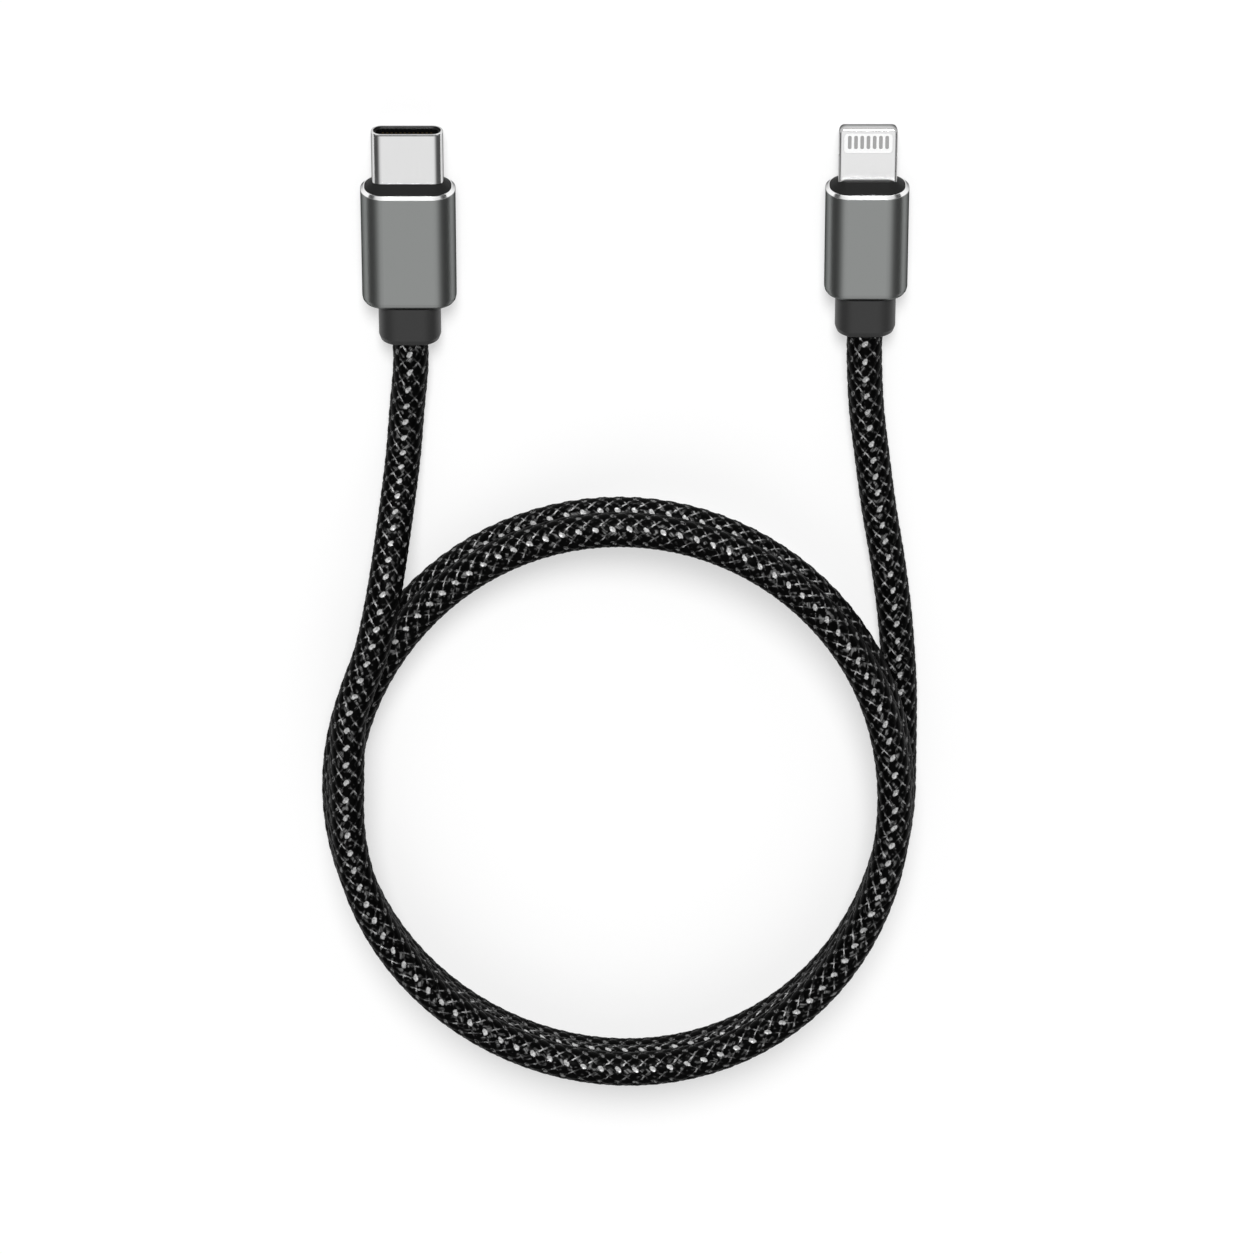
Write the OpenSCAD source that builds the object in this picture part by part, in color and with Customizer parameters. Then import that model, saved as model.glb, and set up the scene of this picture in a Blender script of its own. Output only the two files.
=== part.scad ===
// Phone charging cable: a Type-C plug and a flat blade plug on one braided cord.
// The cord lies in a loose coil. Both plugs point along +Y and rest on the plane Z = 0.
// Sizes are in millimetres. Each plug is drawn on its own axis, nose up, and then laid down.

/* [Cord] */
// Diameter of the cord over its braid
cord_d = 3.9; // [3.2:0.1:4.2]
// Diameter of the cord where its braid is stripped inside the plugs
core_d = 3.0; // [2.4:0.1:3.2]
// Turns in the coil
coil_turns = 2.5; // [2.5:1:4.5]
// Half width of the coil along X, at its first turn
coil_half_w = 33.7; // [30:0.1:45]
// Half length of the coil along Y, at its first turn
coil_half_l = 39.8; // [35:0.1:50]
// Free space between one turn and the turn above it
coil_gap = 0.5; // [0.45:0.05:2]

/* [Type-C plug] */
// Width of the steel shell
typec_shell_w = 8.25; // [8.2:0.01:8.34]
// Height of the steel shell
typec_shell_h = 2.4; // [2.3:0.05:2.5]
// Wall of the steel shell
typec_shell_wall = 0.25; // [0.2:0.01:0.3]
// How far the shell stands out of the housing
typec_shell_out = 7.3; // [6.6:0.1:7.6]
// Width of the aluminium housing
typec_housing_w = 10.9; // [10.8:0.1:12.5]
// Length of the aluminium housing
typec_housing_l = 15.2; // [14:0.1:18]
// Length of the strain relief behind the housing
typec_relief_l = 5.1; // [4:0.1:8]
// Width of the strain relief
typec_relief_w = 7.2; // [6.6:0.1:8]
// Contacts in each of the two rows
typec_contact_count = 12; // [8:1:12]
// Spacing of the contacts
typec_contact_pitch = 0.5; // [0.5:0.01:0.52]

/* [Blade plug] */
// Width of the blade
blade_w = 6.7; // [6.5:0.05:6.9]
// Thickness of the blade
blade_t = 1.5; // [1.4:0.05:1.6]
// How far the blade stands out of the housing
blade_out = 7.7; // [7.2:0.1:8]
// Width of the aluminium housing
blade_housing_w = 9.6; // [9.5:0.1:11.5]
// Length of the aluminium housing
blade_housing_l = 14.1; // [13:0.1:17]
// Length of the strain relief behind the housing
blade_relief_l = 5.2; // [4:0.1:8]
// Width of the strain relief
blade_relief_w = 7.0; // [6.6:0.1:8]
// Contacts on each face of the blade
blade_contact_count = 7; // [5:1:8]
// Spacing of the contacts
blade_contact_pitch = 0.71; // [0.6:0.01:0.72]
// Length of a contact
blade_contact_l = 1.7; // [1.2:0.05:1.8]

/* [Both plugs] */
// Height of both housings
housing_h = 5.7; // [5.6:0.1:7]
// Corner radius of both housings
housing_r = 2.6; // [2.4:0.05:2.8]
// Wall of both housings at the inner parts
housing_wall = 0.8; // [0.7:0.05:0.9]
// Width of the bright cut edge round the mouth of a housing
rim_chamfer = 0.35; // [0.3:0.05:0.6]
// Height of both strain reliefs
relief_h = 4.7; // [4.6:0.1:5.4]
// How far the domed bezel stands out of the housing
bezel_dome = 0.95; // [0.6:0.05:1]
// Thickness of both circuit boards
board_t = 0.6; // [0.4:0.1:0.8]
// Clearance between parts that seat in one another
seat_gap = 0.02; // [0.01:0.01:0.04]
// Distance between the axes of the two plugs
plug_spacing = 52.6; // [48:0.1:60]

/* [Hidden] */

$fn = 48;

// Places. The Type-C plug and the blade plug are set so that their common box is centred on X and Y.
axis_z = housing_h / 2;
typec_l = typec_shell_out + typec_housing_l + typec_relief_l;
blade_l = blade_out + blade_housing_l + blade_relief_l;
typec_x = -(plug_spacing + (blade_housing_w - typec_housing_w) / 2) / 2;
blade_x = typec_x + plug_spacing;
rear_setback = 1.1;
plugs_y = max(blade_l, typec_l - rear_setback) + rear_setback;
typec_rear = -plugs_y / 2;
blade_rear = typec_rear + rear_setback;
typec_rim = typec_rear + typec_relief_l + typec_housing_l;
blade_rim = blade_rear + blade_relief_l + blade_housing_l;

// The housing, its mouth and its rear wall
rear_wall = 1.0;
rim_flat = 0.1;
bezel_edge = rim_chamfer + rim_flat;
bezel_slope = 1.3;
bezel_depth = 1.5;
cavity_h = housing_h - 2 * housing_wall;
cavity_r = housing_r - housing_wall;
rear_round = 1.0;

// The strain relief: its body, its neck through the rear wall and its flange inside the housing
relief_r = 2.2;
relief_round = 0.9;
neck_w = 5.6;
neck_h = 3.9;
neck_r = 1.6;
flange_t = 0.7;
flange_inset = 0.4;
sleeve_stop = 0.6;

// The crimp on the stripped cord
crimp_wall = 0.2;
crimp_l = 1.7;
crimp_back = 0.3;
core_reach = 2.35;

// The wires
wire_d = 0.4;
wire_count = 4;
wire_pitch = 0.9;
wire_spread = 0.72;
wire_lift = 0.02;
wire_start = 0.05;
wire_on_board = 1.1;

// The boards and the cans
board_w = 7.2;
board_gap = 0.6;
board_in = 0.6;
blade_board_in = 1.4;
blade_board_inset = 0.4;
chip_gap = 0.2;
can_wall = 0.2;
can_play = 0.2;
can_rear_gap = 0.15;
chip_w = 2.6;
chip_t = 0.7;
cap_w = 1.0;
cap_l = 0.5;
cap_t = 0.45;

// The inside of the Type-C plug
shell_in = 4.5;
shell_lip = 0.15;
insulator_recess = 0.2;
insulator_rear_in = 4.3;
slot_w = 6.95;
slot_h = 1.05;
slot_l = 6.0;
slot_r = 0.3;
contact_w = 0.24;
contact_t = 0.12;
contact_y = 0.61;
contact_dip = 0.24;
contact_front = 0.4;
contact_drop = 0.75;
contact_out = 0.25;
contact_root = 1.5;
contact_nose = 0.55;
contact_crest = 0.2;
groove_play = 0.04;
latch_t = 0.5;
latch_x = 3.5;
latch_bar = 0.2;
latch_hook = 0.45;
latch_base = 0.8;
latch_set_back = 1.6;
latch_tip_back = 0.6;
latch_nose = 0.5;
latch_flat = 0.3;
latch_ramp = 0.6;
contact_tail = 1.6;
spring_t = 0.12;
spring_w = 5.4;
spring_l = 0.9;
spring_finger_w = 0.9;
spring_finger_pitch = 1.7;
spring_pad = 0.03;
spring_pad_end = 0.25;
spring_back = 0.3;

// The inside of the blade plug
blade_tip_r = 0.95;
blade_side_r = 0.35;
blade_in = 4.0;
collar_play = 0.1;
collar_h = 2.6;
collar_l = 1.6;
collar_r = 0.5;
window_w = 5.6;
window_l = 2.65;
window_tip = 0.5;
window_r = 0.5;
core_h = 0.9;
core_tip = 0.4;
blade_contact_w = 0.38;
blade_contact_t = 0.2;
blade_contact_tip = 0.85;
detent_depth = 0.15;
detent_r = 0.6;
detent_tip = 3.6;

// The coil. It winds clockwise as seen from above, from the blade plug up to the Type-C plug.
cord_r = cord_d / 2;
coil_x = -1.6;
coil_y = -77.8;
coil_drift_x = 0.1;
coil_drift_y = 1.4;
coil_tighten_w = 0.5;
coil_tighten_l = 0.75;
coil_lean = 0.35;
coil_squareness = -0.4;
coil_pitch = cord_d + coil_gap;
climb_from = 0.62;
climb_to = 0.90;
coil_rings_per_turn = 24;
coil_sides = 6;
arm_sides = 8;

// Free stretches of cord between the plugs and the coil. The ends are added by the functions below.
ARM_TYPEC = [
    [-26.5, -24, 2.1], [-27.1, -31, 2.3], [-28.1, -38, 5.2], [-29.3, -45, 8.8],
    [-30.8, -52, 10.6], [-32.7, -58, 10.75], [-33.8, -63, 10.75]
];
ARM_BLADE = [
    [27.0, -24, 2.1], [27.8, -31, 1.95], [28.7, -38, 1.95], [29.8, -45, 1.95],
    [30.7, -52, 1.95], [31.3, -59, 1.95], [31.6, -65, 1.95]
];

// ---------- shapes shared by the parts ----------

// A rounded rectangle of width w and height h, with corners of radius r
module rounded_2d(w, h, r) {
    if (w > 2 * r) square([w - 2 * r, h], center = true);
    if (h > 2 * r) square([w, h - 2 * r], center = true);
    for (sx = w > 2 * r ? [-1, 1] : [0], sy = h > 2 * r ? [-1, 1] : [0])
        translate([sx * (w / 2 - r), sy * (h / 2 - r)]) circle(r = r);
}

// The same outline from z0 up to z1
module rounded_prism(w, h, r, z0, z1) {
    translate([0, 0, z0]) linear_extrude(z1 - z0) rounded_2d(w, h, r);
}

// One side of a mirrored profile: half width less the inset at each height
function side_profile(half, prof) = concat(
    [for (p = prof) [half - p[1], p[0]]],
    [for (i = [len(prof) - 1:-1:0]) [prof[i][1] - half, prof[i][0]]]
);

// A bar with a rounded rectangular section whose edge follows prof, a list of [z, inset]
module rounded_bar(w, h, r, prof) {
    cx = w / 2 - r;
    cy = h / 2 - r;
    last = len(prof) - 1;
    corner = concat([[0, prof[0][0]]], [for (p = prof) [r - p[1], p[0]]], [[0, prof[last][0]]]);
    for (sx = [-1, 1], sy = cy > 0 ? [-1, 1] : [0])
        translate([sx * cx, sy * cy, 0]) rotate_extrude() polygon(corner);
    translate([-cx, 0, 0])
        rotate([90, 0, 90]) linear_extrude(2 * cx) polygon(side_profile(h / 2, prof));
    if (cy > 0)
        translate([0, cy, 0])
            rotate([90, 0, 0]) linear_extrude(2 * cy) polygon(side_profile(w / 2, prof));
}

// A straight round bar between two points
module rod(a, b, d) {
    v = b - a;
    l = norm(v);
    translate(a) rotate([0, acos(v[2] / l), atan2(v[1], v[0])]) cylinder(d = d, h = l, $fn = 24);
}

// A flat strip that follows a line of [y, z] points, t thick
function strip_outline(line, t) = concat(
    [for (p = line) [p[0] + t / 2, p[1]]],
    [for (i = [len(line) - 1:-1:0]) [line[i][0] - t / 2, line[i][1]]]
);

// Lays a plug down: its axis goes along +Y, and its upper face stays up
module lay(x) {
    translate([x, 0, axis_z]) rotate([90, 0, 180]) children();
}

// Copies to the upper and the lower side of a plug
module both_sides() {
    children();
    mirror([0, 1, 0]) children();
}

// ---------- parts that both plugs have, in their own sizes ----------

// Aluminium tube with a cut front edge, a pocket for the bezel and a rear wall with a hole
module housing(w, l, rim) {
    rear = rim - l;
    pocket_w = w - 2 * bezel_edge;
    pocket_h = housing_h - 2 * bezel_edge;
    difference() {
        rounded_bar(w, housing_h, housing_r, [
            [rear, 0.95 * rear_round], [rear + 0.08 * rear_round, 0.6 * rear_round],
            [rear + 0.3 * rear_round, 0.28 * rear_round], [rear + 0.6 * rear_round, 0.08 * rear_round],
            [rear + rear_round, 0], [rim - rim_chamfer, 0], [rim, rim_chamfer]
        ]);
        rounded_prism(pocket_w, pocket_h, housing_r - bezel_edge, rim - bezel_depth, rim + 1);
        rounded_prism(w - 2 * housing_wall, cavity_h, cavity_r, rear + rear_wall, rim);
        rounded_prism(neck_w, neck_h, neck_r, rear - 1, rear + rear_wall + 1);
    }
}

// Black moulded face with a low dome, with a slot cut by its child
module bezel(w, rim) {
    bw = w - 2 * bezel_edge - 2 * seat_gap;
    bh = housing_h - 2 * bezel_edge - 2 * seat_gap;
    difference() {
        rounded_bar(bw, bh, housing_r - bezel_edge - seat_gap, [
            [rim - bezel_depth, 0], [rim - 0.05, 0], [rim + 0.22 * bezel_dome, 0.24 * bezel_slope],
            [rim + 0.56 * bezel_dome, 0.55 * bezel_slope], [rim + 0.88 * bezel_dome, 0.84 * bezel_slope],
            [rim + bezel_dome, bezel_slope]
        ]);
        children();
    }
}

// Rubber sleeve behind the housing, with a neck through the rear wall and a flange inside it
module strain_relief(w, l, rear) {
    front = rear + l;
    flange_z = front + rear_wall;
    difference() {
        union() {
            rounded_bar(w, relief_h, relief_r, [
                [rear, relief_round], [rear + 0.1 * relief_round, 0.55 * relief_round],
                [rear + 0.35 * relief_round, 0.22 * relief_round],
                [rear + relief_round, 0], [front, 0]
            ]);
            rounded_prism(neck_w - 2 * seat_gap, neck_h - 2 * seat_gap, neck_r - seat_gap,
                front - 0.5, flange_z + flange_t);
            rounded_prism(w - flange_inset, cavity_h - 2 * seat_gap, cavity_r - seat_gap,
                flange_z, flange_z + flange_t);
        }
        translate([0, 0, rear - 1]) cylinder(d = cord_d + 2 * seat_gap, h = l - sleeve_stop + 1);
        translate([0, 0, rear]) cylinder(d = core_d + 2 * seat_gap, h = l + rear_wall + flange_t + 1);
    }
}

// The end of the cord: braided almost to the housing, and stripped from there past the crimp
module cord_end(l, rear) {
    front = rear + l;
    translate([0, 0, rear]) cylinder(d = cord_d, h = l - sleeve_stop - seat_gap);
    translate([0, 0, rear]) cylinder(d = core_d, h = core_top(front) - rear);
}

// Where the stripped cord ends inside a housing that starts at front
function core_top(front) = front + rear_wall + flange_t + core_reach;

// Steel ring pressed on the stripped cord
module crimp(front) {
    top = core_top(front) - crimp_back;
    translate([0, 0, top - crimp_l]) difference() {
        cylinder(d = core_d + 2 * seat_gap + 2 * crimp_wall, h = crimp_l);
        translate([0, 0, -1]) cylinder(d = core_d + 2 * seat_gap, h = crimp_l + 2);
    }
}

// Hot melt block that holds the crimp in the rear of the housing
module inner_mould(w, front) {
    z0 = front + rear_wall + flange_t + seat_gap;
    difference() {
        rounded_prism(w - 2 * housing_wall - 2 * seat_gap, cavity_h - 2 * seat_gap, cavity_r - seat_gap,
            z0, core_top(front) - seat_gap);
        translate([0, 0, z0 - 1])
            cylinder(d = core_d + 2 * crimp_wall + 4 * seat_gap, h = core_reach + 2);
    }
}

// The rear edge of a board stands off the end of the cord
function board_rear(front) = core_top(front) + board_gap;

// Circuit board
module board(w, z0, z1) {
    translate([-w / 2, -board_t / 2, z0]) cube([w, board_t, z1 - z0]);
}

// One chip on the upper face, between the wires and limit, and two small capacitors below it
module board_parts(front, limit) {
    z0 = board_rear(front) + wire_on_board + chip_gap;
    z1 = limit - chip_gap;
    translate([-chip_w / 2, board_t / 2, z0]) cube([chip_w, chip_t, z1 - z0]);
    for (sx = [-1, 1])
        translate([sx * cap_w - cap_w / 2, -board_t / 2 - cap_t, (z0 + z1 - cap_l) / 2])
            cube([cap_w, cap_t, cap_l]);
}

// Steel can round a board. Its front wall is cut to fit what comes out of it.
module inner_can(w, rear, front) {
    can_w = w - 2 * housing_wall - 2 * can_play;
    can_h = cavity_h - 2 * can_play;
    can_r = cavity_r - can_play;
    difference() {
        rounded_prism(can_w, can_h, can_r, rear, front);
        rounded_prism(can_w - 2 * can_wall, can_h - 2 * can_wall, can_r - can_wall,
            rear - 1, front - can_wall);
        children();
    }
}

// Insulated wires from the end of the cord to the upper face of the board
module wires(front) {
    z0 = core_top(front) + wire_start;
    z1 = board_rear(front) + wire_on_board;
    y = board_t / 2 + wire_d / 2 + wire_lift;
    for (i = [0:wire_count - 1]) {
        x = (i - (wire_count - 1) / 2) * wire_pitch;
        rod([x * wire_spread, y, z0], [x, y, z1], wire_d);
    }
}

// ---------- Type-C plug ----------

typec_nose = typec_rim + typec_shell_out;
typec_back = typec_rim - typec_housing_l;
shell_rear = typec_rim - shell_in;
shell_in_w = typec_shell_w - 2 * typec_shell_wall;
shell_in_h = typec_shell_h - 2 * typec_shell_wall;
insulator_front = typec_nose - insulator_recess;
insulator_rear = typec_rim - insulator_rear_in;
slot_end = insulator_front - slot_l;
spring_z = insulator_front - spring_back - spring_l;
spring_floor = shell_in_h / 2 - seat_gap - spring_t - spring_pad;
contact_span = (typec_contact_count - 1) * typec_contact_pitch;
typec_board_front = insulator_rear + board_in;

module typec_outline(play) {
    rounded_2d(typec_shell_w + 2 * play, typec_shell_h + 2 * play, typec_shell_h / 2 + play);
}

module typec_shell() color("lightgray") lay(typec_x) difference() {
    rounded_bar(typec_shell_w, typec_shell_h, typec_shell_h / 2, [
        [shell_rear, 0], [typec_nose - shell_lip, 0],
        [typec_nose - 0.3 * shell_lip, 0.3 * shell_lip], [typec_nose, 0.8 * shell_lip]
    ]);
    rounded_prism(shell_in_w, shell_in_h, shell_in_h / 2, shell_rear - 1, typec_nose + 1);
}

// A groove for each contact, open to the slot in front and a tunnel behind it
module contact_grooves() {
    groove_w = contact_w + 2 * groove_play;
    outer = contact_y + contact_t / 2 + groove_play;
    tunnel = contact_y - contact_t / 2 - groove_play;
    for (i = [0:typec_contact_count - 1])
        translate([i * typec_contact_pitch - contact_span / 2 - groove_w / 2, 0, 0]) {
            translate([0, tunnel, insulator_rear - 1])
                cube([groove_w, outer - tunnel, insulator_front - insulator_rear + 2]);
            translate([0, slot_h / 2 - 0.1, slot_end])
                cube([groove_w, outer - slot_h / 2 + 0.1, slot_l + 1]);
        }
}

module typec_insulator() color("black") lay(typec_x) difference() {
    rounded_prism(shell_in_w - 2 * seat_gap, shell_in_h - 2 * seat_gap, shell_in_h / 2 - seat_gap,
        insulator_rear, insulator_front);
    rounded_prism(slot_w, slot_h, slot_r, slot_end, insulator_front + 1);
    both_sides() contact_grooves();
    // The pocket of each ground spring
    both_sides() translate([-spring_w / 2 - seat_gap, spring_floor - seat_gap, spring_z - seat_gap])
        cube([spring_w + 2 * seat_gap, shell_in_h, spring_l + 2 * seat_gap]);
    // The channel of the latch
    translate([-latch_x - groove_play, -latch_t / 2 - groove_play, insulator_rear - 1])
        cube([2 * (latch_x + groove_play), latch_t + 2 * groove_play,
            insulator_front - insulator_rear + 2]);
    // The slot that takes the front edge of the board
    translate([-board_w / 2 - seat_gap, -board_t / 2 - seat_gap, insulator_rear - 1])
        cube([board_w + 2 * seat_gap, board_t + 2 * seat_gap, board_in + seat_gap + 1]);
}

module contact_row() {
    tail_y = board_t / 2 + contact_t / 2;
    tail_z = insulator_rear - contact_tail;
    tip = insulator_front - contact_front;
    bend = slot_end + contact_root;
    crest = tip - contact_nose;
    line = [
        [tail_y, tail_z], [tail_y, insulator_rear - contact_drop], [contact_y, insulator_rear - contact_out],
        [contact_y, bend], [contact_y - 0.4 * contact_dip, (bend + crest) / 2],
        [contact_y - contact_dip, crest - contact_crest], [contact_y - contact_dip, crest],
        [contact_y - 0.3 * contact_dip, tip]
    ];
    for (i = [0:typec_contact_count - 1])
        translate([i * typec_contact_pitch - contact_span / 2 - contact_w / 2, 0, 0])
            rotate([90, 0, 90]) linear_extrude(contact_w) polygon(strip_outline(line, contact_t));
}

module typec_contacts_upper() color("gold") lay(typec_x) contact_row();

module typec_contacts_lower() color("gold") lay(typec_x) mirror([0, 1, 0]) contact_row();

// Spring steel fork whose arms lie beside the slot, with a hook on each arm
module typec_latch() color("silver") lay(typec_x)
    rotate([90, 0, 0]) linear_extrude(latch_t, center = true) {
        bar_z = slot_end - latch_set_back;
        tip = insulator_front - latch_tip_back;
        arm = [
            [latch_x, bar_z], [latch_x, tip], [latch_x - latch_bar, tip],
            [latch_x - latch_hook, tip - latch_nose], [latch_x - latch_hook, tip - latch_nose - latch_flat],
            [latch_x - latch_bar, tip - latch_nose - latch_flat - latch_ramp],
            [latch_x - latch_bar, bar_z + latch_base]
        ];
        polygon(concat(arm, [for (i = [len(arm) - 1:-1:0]) [-arm[i][0], arm[i][1]]]));
    }

// Two plates between the shell and the insulator, each with three pads on the insulator's side
module typec_ground_springs() color("silver") lay(typec_x) both_sides() {
    y = spring_floor + spring_pad;
    translate([-spring_w / 2, y, spring_z]) cube([spring_w, spring_t, spring_l]);
    for (i = [-1:1])
        translate([i * spring_finger_pitch - spring_finger_w / 2, spring_floor, spring_z + spring_pad_end])
            cube([spring_finger_w, 2 * spring_pad, spring_l - 2 * spring_pad_end]);
}

module typec_board() color("green") lay(typec_x)
    board(board_w, board_rear(typec_back), typec_board_front);

module typec_board_parts() color("dimgray") lay(typec_x)
    board_parts(typec_back, insulator_rear - contact_tail);

module typec_inner_can() color("silver") lay(typec_x)
    inner_can(typec_housing_w, board_rear(typec_back) + can_rear_gap,
        typec_rim - bezel_depth - seat_gap)
        rounded_prism(typec_shell_w + 2 * seat_gap, typec_shell_h + 2 * seat_gap,
            typec_shell_h / 2 + seat_gap, shell_rear, typec_rim);

module typec_inner_mould() color("gray") lay(typec_x) inner_mould(typec_housing_w, typec_back);

module typec_bezel() color([0.13, 0.13, 0.13]) lay(typec_x)
    bezel(typec_housing_w, typec_rim)
        translate([0, 0, typec_rim - bezel_depth - 1])
            linear_extrude(bezel_depth + bezel_dome + 2) typec_outline(seat_gap);

module typec_housing() color([0.45, 0.46, 0.47]) lay(typec_x)
    housing(typec_housing_w, typec_housing_l, typec_rim);

module typec_wires() color("tomato") lay(typec_x) wires(typec_back);

module typec_crimp() color("silver") lay(typec_x) crimp(typec_back);

module typec_strain_relief() color([0.2, 0.2, 0.2]) lay(typec_x)
    strain_relief(typec_relief_w, typec_relief_l, typec_rear);

module typec_cord_end() color([0.08, 0.08, 0.08]) lay(typec_x)
    cord_end(typec_relief_l, typec_rear);

// ---------- blade plug ----------

blade_nose = blade_rim + blade_out;
blade_back = blade_rim - blade_housing_l;
frame_rear = blade_rim - blade_in;
collar_w = blade_housing_w - 2 * (housing_wall + can_play + can_wall + collar_play);
window_mid = blade_nose - window_tip - window_l / 2;
blade_contact_y = blade_t / 2 - blade_contact_t;
blade_contact_mid = blade_nose - blade_contact_tip - blade_contact_l / 2;
blade_contact_span = (blade_contact_count - 1) * blade_contact_pitch;
blade_board_front = frame_rear + blade_board_in;

// The blade seen from its side, with a round nose
module blade_side() {
    translate([-blade_t / 2, frame_rear]) square([blade_t, blade_nose - blade_side_r - frame_rear]);
    translate([-blade_t / 2 + blade_side_r, frame_rear])
        square([blade_t - 2 * blade_side_r, blade_nose - frame_rear]);
    for (sy = [-1, 1])
        translate([sy * (blade_t / 2 - blade_side_r), blade_nose - blade_side_r])
            circle(r = blade_side_r);
}

// The blade seen from above, with its two side detents
module blade_plan() {
    difference() {
        union() {
            translate([-blade_w / 2 + blade_tip_r, frame_rear])
                square([blade_w - 2 * blade_tip_r, blade_nose - frame_rear]);
            translate([-blade_w / 2, frame_rear])
                square([blade_w, blade_nose - blade_tip_r - frame_rear]);
            for (sx = [-1, 1])
                translate([sx * (blade_w / 2 - blade_tip_r), blade_nose - blade_tip_r])
                    circle(r = blade_tip_r);
        }
        for (sx = [-1, 1])
            translate([sx * (blade_w / 2 + detent_r - detent_depth), blade_nose - detent_tip])
                circle(r = detent_r, $fn = 32);
    }
}

module window_prism(w, l, r, h) {
    translate([0, h / 2, window_mid]) rotate([90, 0, 0]) linear_extrude(h) rounded_2d(w, l, r);
}

module blade_frame() color("gainsboro") lay(blade_x) difference() {
    union() {
        intersection() {
            rounded_prism(blade_w, blade_t, blade_side_r, frame_rear, blade_nose);
            translate([0, blade_t / 2, 0])
                rotate([90, 0, 0]) linear_extrude(blade_t) blade_plan();
            translate([-blade_w / 2, 0, 0])
                rotate([90, 0, 90]) linear_extrude(blade_w) blade_side();
        }
        rounded_prism(collar_w, collar_h, collar_r, frame_rear, frame_rear + collar_l);
    }
    translate([-window_w / 2, -core_h / 2, frame_rear - 1])
        cube([window_w, core_h, blade_nose - core_tip - frame_rear + 1]);
    window_prism(window_w, window_l, window_r, blade_t + 1);
}

// A bar with round ends for each contact, from y0 to y1 in depth
module contact_bars(w, l, y0, y1) {
    for (i = [0:blade_contact_count - 1])
        translate([i * blade_contact_pitch - blade_contact_span / 2, y1, blade_contact_mid])
            rotate([90, 0, 0]) linear_extrude(y1 - y0) rounded_2d(w, l, w / 2);
}

module blade_core() color("white") lay(blade_x) difference() {
    play = 2 * seat_gap;
    union() {
        translate([-window_w / 2 + seat_gap, -core_h / 2 + seat_gap, blade_board_front + seat_gap])
            cube([window_w - play, core_h - play,
                blade_nose - core_tip - blade_board_front - play]);
        window_prism(window_w - play, window_l - play, window_r - seat_gap, blade_t);
    }
    both_sides()
        contact_bars(blade_contact_w + play, blade_contact_l + play, blade_contact_y, blade_t);
}

module blade_contact_row() {
    contact_bars(blade_contact_w, blade_contact_l, blade_contact_y, blade_t / 2);
}

module blade_contacts_upper() color("darkgray") lay(blade_x) blade_contact_row();

module blade_contacts_lower() color("darkgray") lay(blade_x)
    mirror([0, 1, 0]) blade_contact_row();

module blade_board() color("green") lay(blade_x)
    board(window_w - blade_board_inset, board_rear(blade_back), blade_board_front);

module blade_board_parts() color("dimgray") lay(blade_x)
    board_parts(blade_back, frame_rear);

module blade_inner_can() color("silver") lay(blade_x)
    inner_can(blade_housing_w, board_rear(blade_back) + can_rear_gap,
        blade_rim - bezel_depth - seat_gap)
        rounded_prism(blade_w + 2 * seat_gap, blade_t + 2 * seat_gap, blade_side_r + seat_gap,
            frame_rear, blade_rim);

module blade_inner_mould() color("gray") lay(blade_x) inner_mould(blade_housing_w, blade_back);

module blade_bezel() color([0.13, 0.13, 0.13]) lay(blade_x)
    bezel(blade_housing_w, blade_rim)
        rounded_prism(blade_w + 2 * seat_gap, blade_t + 2 * seat_gap, blade_side_r + seat_gap,
            blade_rim - bezel_depth - 1, blade_nose);

module blade_housing() color([0.45, 0.46, 0.47]) lay(blade_x)
    housing(blade_housing_w, blade_housing_l, blade_rim);

module blade_wires() color("tomato") lay(blade_x) wires(blade_back);

module blade_crimp() color("silver") lay(blade_x) crimp(blade_back);

module blade_strain_relief() color([0.2, 0.2, 0.2]) lay(blade_x)
    strain_relief(blade_relief_w, blade_relief_l, blade_rear);

module blade_cord_end() color([0.08, 0.08, 0.08]) lay(blade_x)
    cord_end(blade_relief_l, blade_rear);

// ---------- cord ----------

function unit(v) = v / norm(v);
function ease(u) = u * u * (3 - 2 * u);
function clamp01(u) = min(max(u, 0), 1);

// Height of the coil's centre line after t turns: flat, with one climb on each turn
function coil_height(t) = let (n = floor(t))
    cord_r + coil_pitch * (n + ease(clamp01((t - n - climb_from) / (climb_to - climb_from))));

// How far a turn bulges past a plain ellipse in direction g
function coil_bulge(g) = coil_lean * sin(2 * g) + coil_squareness * cos(3 * g);

// Centre line of the coil after t turns
function coil_point(t) = let (g = -360 * t, b = coil_bulge(g)) [
    coil_x + coil_drift_x * t + (coil_half_w - coil_tighten_w * t + b) * cos(g),
    coil_y + coil_drift_y * t + (coil_half_l - coil_tighten_l * t + b) * sin(g),
    coil_height(t)
];

tiny = 0.0005;
coil_first = coil_point(0);
coil_last = coil_point(coil_turns);
coil_in_dir = unit(coil_point(tiny) - coil_first);
coil_out_dir = unit(coil_last - coil_point(coil_turns - tiny));
coil_start = coil_first - coil_in_dir * cord_d;
coil_end = coil_last + coil_out_dir * cord_d;
coil_rings = ceil(coil_turns * coil_rings_per_turn);
coil_line = concat([coil_start],
    [for (i = [0:coil_rings]) coil_point(coil_turns * i / coil_rings)], [coil_end]);

typec_exit = [typec_x, typec_rear, axis_z];
blade_exit = [blade_x, blade_rear, axis_z];
straight_out = [0, -cord_d, 0];
arm_typec_line = concat([typec_exit, typec_exit + straight_out], ARM_TYPEC,
    [coil_end + coil_out_dir * cord_d, coil_end]);
arm_blade_line = concat([blade_exit, blade_exit + straight_out], ARM_BLADE,
    [coil_start - coil_in_dir * cord_d, coil_start]);

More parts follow.
